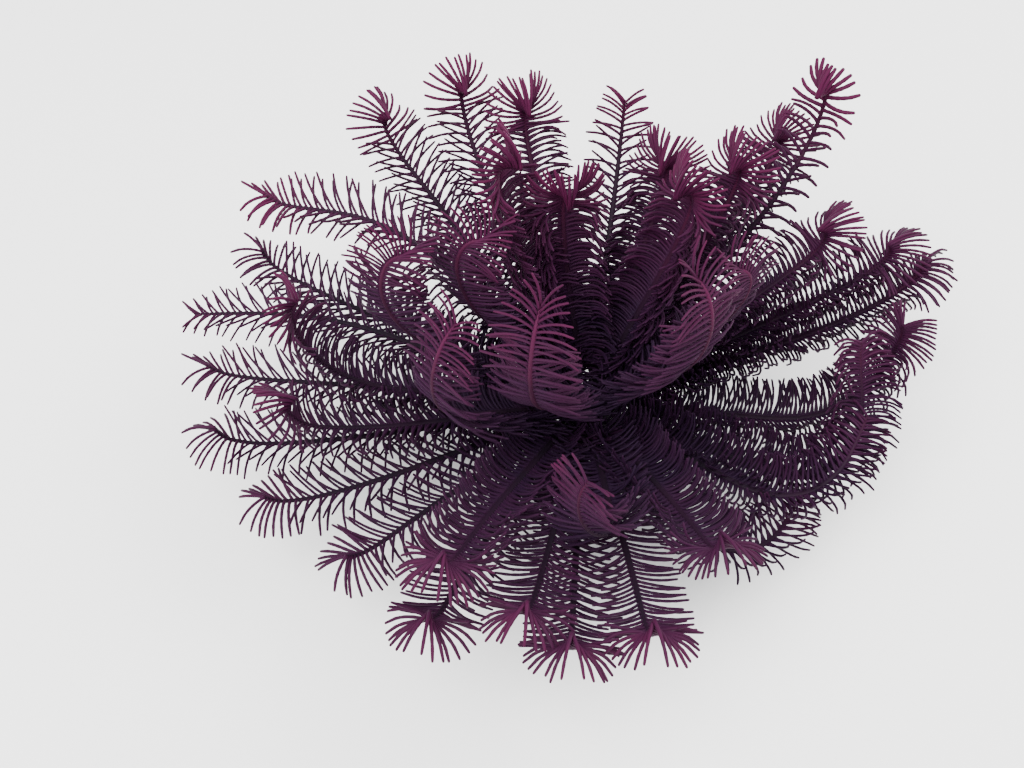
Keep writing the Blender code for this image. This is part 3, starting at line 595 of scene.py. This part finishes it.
def pinnule_angles(arm, traits, row, s, chance):
    """Each pinnule's angle from the stem at its root and its end, its tilt and its curl."""
    plush = traits.plush
    looser = 1.0 + (PLUSH_LOOSER - 1.0) * plush

    def vary(angle, size, times):
        return angle + drift(chance, s, size) + chance.uniform(-size, size, len(s)) * times

    over_mouth = 1.0 - ease(ROOT_RADIUS + s * arm.length, PINNULE_START, ORAL_REACH)
    at_root = vary(by_row(row, ROOT_ANGLES, plush), ROOT_VARIES, 1.0)
    at_end = vary(at_root + by_row(row, RECURVES, plush), END_VARIES, looser)
    tilt = vary(by_row(row, TILTS, plush) + ORAL_TILT * over_mouth, TILT_VARIES, looser)
    curl = vary(by_row(row, CURLS, plush) * traits.curl, CURL_VARIES, looser)
    return at_root, at_end, tilt, curl


def pinnule_lengths(traits, s, chance):
    """Each pinnule's length, with the last ones as long as the arm's tip asks for."""
    share = np.interp(s, PINNULE_LENGTH_PLACES, PINNULE_LENGTH_SHARES)
    share = share * (1.0 + (traits.tip_length - 1.0) * ease(s, LAST_START, 1.0))
    share = share * traits.lengthened
    return PINNULE_LENGTH * share * chance.uniform(*PINNULE_LENGTH_VARIES, len(s))


def pinnule_radii(traits, crowned, t):
    """The radii along each pinnule, beaded by its own joints and with a round tip."""
    thick = PINNULE_RADIUS * traits.thickness * (1.0 - PLUSH_THINNER * traits.plush)
    thick = thick * (1.0 + traits.crown["thicker"] * crowned)
    beads = 1.0 + PINNULE_BEADS * in_turn(np.arange(PINNULE_RINGS))
    return thick[:, None] * (np.interp(t, PROFILE_PLACES, PROFILE_SHARES) * beads)[None, :]


def comb_ways(frames, hand, angles, t):
    """Ways that pinnules run beside the stem, as a comb or a plume, and normals."""
    along, oral, side = (way[:, None] for way in frames)
    at_root, at_end, tilt, curl = (angle[:, None] for angle in angles)
    turn = np.radians(at_root + (at_end - at_root) * t ** TURN_POWER)
    lean = np.radians(tilt + curl * t ** CURL_POWER)
    outward = side * (hand[:, None] * np.cos(lean))[..., None] + oral * np.sin(lean)[..., None]
    way = along * np.cos(turn)[..., None] + outward * np.sin(turn)[..., None]
    normal = outward * np.cos(turn)[..., None] - along * np.sin(turn)[..., None]
    return way, normal


def crown_ways(arm, crown, away, hand, t, chance):
    """Ways that pinnules run in the crown of a tip, spread evenly round its axis, and normals."""
    before_roll = 1.0 - TIP_REACH / arm.length
    along, oral, side = (way[0] for way in arm_frames(arm, np.array([before_roll])))
    facing = math.radians(CROWN_FACING[0] + CROWN_FACING[1] * arm.behind)
    facing = facing + math.radians(arm.curl) * (1.0 - ease(before_roll, *CURL_STRETCH)) / 2
    axis = along * math.cos(facing) + oral * math.sin(facing)
    top = along * math.sin(facing) - oral * math.cos(facing)
    rim = np.clip(away / CROWN_RIM, 0.0, 1.0) ** crown["crowd"]
    around, hook, opened = (
        np.interp(rim, (0.0, 1.0), crown[key]) for key in ("round", "hook", "open"))
    around = around + chance.uniform(-ROUND_VARIES, ROUND_VARIES, len(away))
    opened = opened + chance.uniform(-OPEN_VARIES, OPEN_VARIES, len(away))
    around = np.radians(around[:, None] + hook[:, None] * t ** HOOK_POWER)
    opened = np.radians(opened[:, None] + crown["droop"] * t)
    flat = top * np.cos(around)[..., None] + side * (hand[:, None] * np.sin(around))[..., None]
    way = flat * np.sin(opened)[..., None] + axis * np.cos(opened)[..., None]
    normal = flat * np.cos(opened)[..., None] - axis * np.sin(opened)[..., None]
    return way, normal


def add_pinnules(shape, arm, traits, line, chance):
    """Pinnules on every joint: left and right in turn, and two rows on each side."""
    ends = joint_ends(arm, traits)
    s = (ends[1:] + ends[:-1]) / 2
    number = np.arange(len(s))
    hand = in_turn(number)
    row = (number // 2) % 2
    frames = arm_frames(arm, s)
    stem = np.interp(s, STEM_PLACES, STEM_RADII)
    root = points_at(line, arm, s) + frames[2] * (hand * stem * PINNULE_ROOT)[:, None]
    t = np.linspace(0.0, 1.0, PINNULE_RINGS)
    t[-len(PINNULE_TIP):] = PINNULE_TIP

    angles = pinnule_angles(arm, traits, row, s, chance)
    lengths = pinnule_lengths(traits, s, chance)
    away = (1.0 - s) * arm.length / FAN_REACH
    crowned = (1.0 - ease(away, 1.0, CROWN_END)) * (FLAT_CROWN + (1.0 - FLAT_CROWN) * arm.curled)
    weight = crowned[:, None, None]
    in_comb = comb_ways(frames, hand, angles, t)
    in_crown = crown_ways(arm, traits.crown, away, hand, t, chance)
    way, normal = (a * (1.0 - weight) + b * weight for a, b in zip(in_comb, in_crown))
    way = unit(way)
    steps = (way[:, 1:] + way[:, :-1]) / 2 * (np.diff(t) * lengths[:, None])[..., None]
    start = np.zeros((len(s), 1, 3))
    centres = root[:, None] + np.concatenate([start, np.cumsum(steps, axis=1)], axis=1)
    normal = unit(normal - way * np.sum(normal * way, axis=-1, keepdims=True))
    radii = pinnule_radii(traits, crowned, t)
    points = tube_points(centres, normal, np.cross(way, normal), radii, PINNULE_SIDES)

    # The pinnules' tone holds painted light from above: each ring is brighter where it is higher
    # above the floor
    tone = tone_with_painted_light(centres[..., 2], s[:, None]) + PINNULE_TONE * t[None, :]
    tone = tone - PLUSH_DARKER * traits.plush - traits.crown["darker"]
    tone = tone + chance.uniform(-TONE_VARIES, TONE_VARIES, len(s))[:, None]
    place_u = on_map(np.clip(s, 0.0, 1.0))
    place_v = np.where(hand > 0, *SIDE_PLACES) + ROWS_APART * (row - 0.5)
    shape.add_tubes(
        points,
        lambda tube, ring, corner: place_u[tube] + PATCH * (ring / (PINNULE_RINGS - 1) - 0.5),
        lambda tube, ring, corner: place_v[tube] + PATCH * (corner / PINNULE_SIDES - 0.5),
        np.clip(tone, 0.0, 1.0)[..., None],
        skin=1)


def make_plume(ray, number, arm, looks, chance):
    """One arm: its stem and its pinnules in one mesh, in place of the arm's solids."""
    name = f"{ray}_{number}"
    shape = Shape()
    line = arm_line(arm)
    traits = Traits(name, arm, PLUSH[ray][number - 1])
    add_stem(shape, arm, traits, line)
    add_pinnules(shape, arm, traits, line, chance)
    plume = shape.piece("plume_" + name, *looks)
    ends = ("_inner", "_outer") if name in PARTED else ("",)
    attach(plume, BODY)
    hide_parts(*[f"arm_{name}{end}" for end in ends])


def fuse(obj):
    """Makes one smooth closed surface of the object's overlapping closed shapes."""
    remesh = obj.modifiers.new("fuse", "REMESH")
    remesh.mode = "VOXEL"
    remesh.voxel_size = VOXEL
    smooth = obj.modifiers.new("smooth", "SMOOTH")
    smooth.iterations = 2
    bpy.context.view_layer.update()
    shape = obj.evaluated_get(bpy.context.evaluated_depsgraph_get())
    mesh = bpy.data.meshes.new_from_object(shape)
    obj.modifiers.clear()
    obj.data = mesh
    mesh.shade_smooth()


def spread(directions):
    """How far a group of arm roots is spread out."""
    return sum(np.linalg.norm(a - b) for a, b in combinations(directions, 2))


def fork(directions):
    """Splits a ray's arm roots into the two halves that lie closest together."""
    everyone = set(range(len(directions)))

    def width(group):
        others = everyone - set(group)
        return spread([directions[i] for i in group]) + spread([directions[i] for i in others])

    half = min(combinations(sorted(everyone), len(directions) // 2), key=width)
    return half, tuple(sorted(everyone - set(half)))


def ray_line(azimuth, everyone, half, own):
    """The centre line from a ray's plate through its forks to one arm's root."""
    out = np.linspace(RAY_PLACES[0], RAY_PLACES[-1], RAY_RINGS)[:, None]
    first, second = (ease(out, start, end) for start, end in FORKS)
    way = unit(unit(everyone) * (1 - first) + unit(half) * first)
    way = unit(way * (1 - second) + own * second)
    from_plate = ease(out, RAY_START, PLATE_LEFT)
    flat = heading(azimuth, 0.0)
    plate = AXIS + flat * out + np.array((0.0, 0.0, (PLATE_LOW + PLATE_HIGH) / 2))
    return plate * (1 - from_plate) + (CALYX + way * out) * from_plate


def add_line(shape, centres, radii, sides):
    """A tube along one line of centres, with its section square to the line."""
    along = unit(np.gradient(centres, axis=0))
    side = unit(np.cross((0.0, 0.0, 1.0), along))
    up = np.cross(along, side)
    points = tube_points(centres, side, up, radii, sides)
    rings = len(centres)
    shape.add_tubes(
        points[None],
        lambda tube, ring, corner: ring / (rings - 1),
        lambda tube, ring, corner: corner / sides)


def add_plate(shape, azimuth):
    """One ray's wedge of the calyx, a ring sector with a little room at its sides."""
    angles = azimuth + np.radians(SECTOR) * PLATE_WIDTH * np.linspace(-0.5, 0.5, PLATE_STEPS)
    flat = heading(angles, np.zeros(PLATE_STEPS))
    inner, outer = AXIS + flat * PLATE_INNER, AXIS + flat * PLATE_OUTER
    low, high = (np.array((0.0, 0.0, z)) for z in (PLATE_LOW, PLATE_HIGH))
    rings = np.stack([inner + low, outer + low, outer + high, inner + high], axis=1)
    shape.add_tubes(
        rings[None],
        lambda tube, ring, corner: ring / (PLATE_STEPS - 1),
        lambda tube, ring, corner: corner / 4)


def make_ray(ray, look):
    """A ray's plate, trunk and forks with their stout joints, as one skin."""
    shape = Shape()
    azimuth = math.radians(RAY_AZIMUTH[ray])
    directions = [arm_root(arm) for arm in ARMS[ray]]
    out = np.linspace(RAY_PLACES[0], RAY_PLACES[-1], RAY_RINGS)
    knots = 1.0 + OSSICLE_SWELL * np.abs(np.sin(math.pi * out / OSSICLE_LENGTH))
    radii = np.interp(out, RAY_PLACES, RAY_RADII) * knots
    for half in fork(directions):
        middle = sum(directions[i] for i in half)
        for i in half:
            line = ray_line(azimuth, sum(directions), middle, directions[i])
            add_line(shape, line, radii, RAY_SIDES)
    add_plate(shape, azimuth)
    piece = shape.piece("ray_skin_" + ray, look)
    fuse(piece)
    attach(piece, BODY)
    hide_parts("ray_" + ray)


def turned_piece(name, out, heights, look):
    """A surface turned about the calyx axis, from its radius and height by ring and side."""
    rings, sides = out.shape
    angles = ring_angles(sides)
    points = np.stack([AXIS[0] + out * np.cos(angles), AXIS[1] + out * np.sin(angles),
                       np.broadcast_to(heights, out.shape)], axis=-1)
    shape = Shape()
    shape.add_tubes(
        points[None],
        lambda tube, ring, corner: corner / sides,
        lambda tube, ring, corner: ring / (rings - 1))
    piece = shape.piece(name, look)
    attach(piece, BODY)
    return piece


def socket_dents(angles, heights):
    """How deep the sockets for the cirri are at a place on the knob, less than 0 on a rim."""
    step = 2.0 * math.pi / KNOB_SOCKETS
    first = math.radians(RAY_AZIMUTH["front"] + SECTOR / (2 * CIRRI_PER_RAY))
    nearest = (angles - first + step / 2) % step - step / 2
    rim_height, rim_place, rim_width = SOCKET_RIM
    depth = 0.0
    for height in CIRRUS_SOCKET_Z:
        distance = np.hypot(nearest * KNOB_RADIUS, heights - height) / SOCKET_RADIUS
        rim = np.exp(-((distance - rim_place) / rim_width) ** 2)
        depth = depth + SOCKET_DEPTH * (np.exp(-distance ** 4) - rim_height * rim)
    return depth


def make_knob(look):
    """The centrodorsal: a rounded knob with rows of sockets for the cirri."""
    under, wall = KNOB_RINGS
    low, high = knob_low.z + KNOB_ROOM[0], PLATE_LOW - KNOB_ROOM[1]
    turn = np.linspace(-math.pi / 2, 0.0, under)
    heights = np.concatenate([KNOB_MIDDLE + (KNOB_MIDDLE - low) * np.sin(turn),
                              np.linspace(KNOB_MIDDLE, high, wall)[1:]])[:, None]
    radii = np.full(len(heights), KNOB_RADIUS)
    radii[:under] *= np.cos(turn) ** KNOB_ROUNDNESS
    radii[-len(KNOB_SHOULDER):] *= KNOB_SHOULDER
    dents = socket_dents(ring_angles(KNOB_SIDES)[None, :], heights)
    out = np.maximum(radii[:, None] - dents, KNOB_POLE)
    piece = turned_piece("knob", out, heights, look)
    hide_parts("centrodorsal")


def make_disc(look):
    """The oral disc: a soft dome with five grooves that run from the mouth to the rays."""
    depth, width = DISC_GROOVE
    angles = ring_angles(DISC_SIDES)
    grooves = sum(np.exp(-(apart(angles, math.radians(azimuth)) / width) ** 2)
                  for azimuth in RAY_AZIMUTH.values())
    share, rise = (np.array(profile)[:, None] for profile in (DISC_OUT, DISC_UP))
    on_top = ease(rise, *GROOVE_EDGE) * ease(share, *GROOVE_MOUTH)
    disc_low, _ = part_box("oral_disc")
    heights = disc_low.z + DISC_RISE * (rise - depth * on_top * grooves)
    out = np.broadcast_to(DISC_RADIUS * share, heights.shape)
    piece = turned_piece("disc_skin", out, heights, look)
    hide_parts("oral_disc")


def cirrus_line(azimuth, row, t):
    """Centre line of a cirrus: out of its socket, over an arch and down to the floor."""
    out_power, down_power = CIRRUS_ARCH
    reach, socket = CIRRUS_REACH[row], CIRRUS_SOCKET_Z[row]
    out = CIRRUS_START + (reach - CIRRUS_START) * np.sin(t * math.pi / 2) ** out_power
    height = socket * (1.0 - t ** down_power) + CIRRUS_RISE * np.sin(math.pi * t) * (1.0 - t)
    return AXIS + heading(azimuth, 0.0) * out[:, None] + np.array((0.0, 0.0, 1.0)) * height[:, None]


def make_cirri(ray, look):
    """One ray's four cirri: jointed, thinner outward, each ending in a claw on the floor."""
    shape = Shape()
    step = SECTOR / CIRRI_PER_RAY
    t = np.linspace(0.0, 1.0, CIRRUS_JOINT_RINGS * CIRRUS_JOINTS + 1)
    depth, fullness = CIRRUS_WAIST
    waist = 1.0 - depth * (1.0 - np.abs(np.sin(math.pi * t * CIRRUS_JOINTS)) ** fullness)
    claw = 1.0 - CLAW_THINNER * ease(t, 1.0 - CLAW_SHARE, 1.0)
    radii = np.interp(t, (0.0, 1.0), CIRRUS_RADII) * waist * claw
    for number in range(CIRRI_PER_RAY):
        azimuth = math.radians(RAY_AZIMUTH[ray] - SECTOR / 2 + step * (number + 0.5))
        add_line(shape, cirrus_line(azimuth, number % 2, t), radii, CIRRUS_SIDES)
    piece = shape.piece("cirri_skin_" + ray, look)
    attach(piece, BODY)
    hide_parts("cirri_" + ray)


def new_node(tree, kind, settings=(), inputs=()):
    """A node with its settings and the values of its input sockets."""
    node = tree.nodes.new(kind)
    for key, value in dict(settings).items():
        setattr(node, key, value)
    for key, value in dict(inputs).items():
        node.inputs[key].default_value = value
    return node


def skin_material(name, stops):
    """Soft skin: colour by tone, mottled by noise, with fine grains in its bump."""
    made = bpy.data.materials.new(name)
    made.use_nodes = True
    tree = made.node_tree
    link = tree.links.new
    shader = tree.nodes["Principled BSDF"]
    place = new_node(tree, "ShaderNodeTexCoord")
    tone = new_node(tree, "ShaderNodeAttribute", {"attribute_name": "tone"})

    patches = new_node(tree, "ShaderNodeTexNoise", inputs={"Scale": MOTTLE_SCALE, "Detail": 3.0})
    link(place.outputs["Object"], patches.inputs["Vector"])
    shift = new_node(tree, "ShaderNodeMath", {"operation": "MULTIPLY_ADD"},
                     {1: MOTTLE_TONE, 2: -MOTTLE_TONE / 2})
    link(patches.outputs["Fac"], shift.inputs[0])
    mixed = new_node(tree, "ShaderNodeMath", {"operation": "ADD", "use_clamp": True})
    link(tone.outputs["Fac"], mixed.inputs[0])
    link(shift.outputs["Value"], mixed.inputs[1])
    ramp = new_node(tree, "ShaderNodeValToRGB")
    while len(ramp.color_ramp.elements) < len(stops):
        ramp.color_ramp.elements.new(0.5)
    for element, (position, colour) in zip(ramp.color_ramp.elements, stops):
        element.position = position
        element.color = (*colour, 1.0)
    link(mixed.outputs["Value"], ramp.inputs["Fac"])
    link(ramp.outputs["Color"], shader.inputs["Base Color"])

    grains = new_node(tree, "ShaderNodeTexNoise", inputs={"Scale": 1.0 / GRAIN_SIZE, "Detail": 2.0})
    link(place.outputs["Object"], grains.inputs["Vector"])
    rough = new_node(tree, "ShaderNodeMapRange",
                     inputs={"To Min": ROUGHNESS[0], "To Max": ROUGHNESS[1]})
    link(grains.outputs["Fac"], rough.inputs["Value"])
    link(rough.outputs["Result"], shader.inputs["Roughness"])
    bump = new_node(tree, "ShaderNodeBump",
                    inputs={"Strength": GRAIN_STRENGTH, "Distance": GRAIN_HEIGHT})
    link(grains.outputs["Fac"], bump.inputs["Height"])
    link(bump.outputs["Normal"], shader.inputs["Normal"])

    shader.inputs["Specular IOR Level"].default_value = SPECULAR
    shader.inputs["Sheen Weight"].default_value = SHEEN
    shader.inputs["Sheen Roughness"].default_value = SHEEN_ROUGHNESS
    shader.inputs["Sheen Tint"].default_value = SHEEN_TINT
    return made


def make_animal():
    """Every piece of the animal; its pinnules vary by one seeded chance."""
    chance = np.random.default_rng(SEED)
    arm_looks = (skin_material("stem_skin", STEM_STOPS),
                 skin_material("pinnule_skin", PINNULE_STOPS))
    calyx_look = skin_material("calyx_skin", CALYX_STOPS)
    cirrus_look = skin_material("cirrus_skin", CIRRUS_STOPS)
    make_knob(calyx_look)
    make_disc(calyx_look)
    for ray, arms in ARMS.items():
        make_ray(ray, calyx_look)
        make_cirri(ray, cirrus_look)
        for number, arm in enumerate(arms, start=1):
            make_plume(ray, number, arm, arm_looks, chance)


def make_floor():
    bpy.ops.mesh.primitive_plane_add(size=FLOOR_SIZE, location=(0.0, 0.0, 0.0))
    floor = bpy.context.object
    floor.name = "floor"
    made = bpy.data.materials.new("pale_floor")
    made.use_nodes = True
    shader = made.node_tree.nodes["Principled BSDF"]
    shader.inputs["Base Color"].default_value = FLOOR_COLOUR
    shader.inputs["Roughness"].default_value = FLOOR_ROUGHNESS
    floor.data.materials.append(made)


def make_world():
    world = bpy.data.worlds.new("studio")
    world.use_nodes = True
    background = world.node_tree.nodes["Background"]
    background.inputs["Color"].default_value = SKY_COLOUR
    background.inputs["Strength"].default_value = SKY_STRENGTH
    bpy.context.scene.world = world


def facing_way(way):
    """Rotation with which a light or a camera looks along a way."""
    return Vector(way).to_track_quat("-Z", "Y").to_euler()


def make_light(name, place, size, watts):
    light = bpy.data.lights.new(name, "AREA")
    light.size = size
    light.energy = watts
    obj = bpy.data.objects.new(name, light)
    obj.location = place
    obj.rotation_euler = facing_way(CALYX - place)
    bpy.context.scene.collection.objects.link(obj)


def make_camera():
    look = np.array((0.0, math.cos(CAMERA_LIFT), -math.sin(CAMERA_LIFT)))
    up = np.array((0.0, math.sin(CAMERA_LIFT), math.cos(CAMERA_LIFT)))
    right = np.array((1.0, 0.0, 0.0))
    distance = METRES_PER_PIXEL * LENS_PIXELS
    aside = (CALYX_PIXEL[0] - PICTURE[0] / 2) * METRES_PER_PIXEL
    below = (CALYX_PIXEL[1] - PICTURE[1] / 2) * METRES_PER_PIXEL
    data = bpy.data.cameras.new("camera")
    data.sensor_width = SENSOR
    data.lens = LENS_PIXELS / PICTURE[0] * SENSOR
    data.clip_start, data.clip_end = 0.01, 20.0
    camera = bpy.data.objects.new("camera", data)
    camera.location = CALYX - look * distance - right * aside + up * below
    camera.rotation_euler = facing_way(look)
    bpy.context.scene.collection.objects.link(camera)
    bpy.context.scene.camera = camera


make_animal()
make_floor()
make_world()
make_light("key", (-0.5, -0.6, 1.4), size=1.2, watts=60.0)
make_light("fill", (0.9, 0.5, 1.0), size=1.0, watts=26.0)
make_camera()
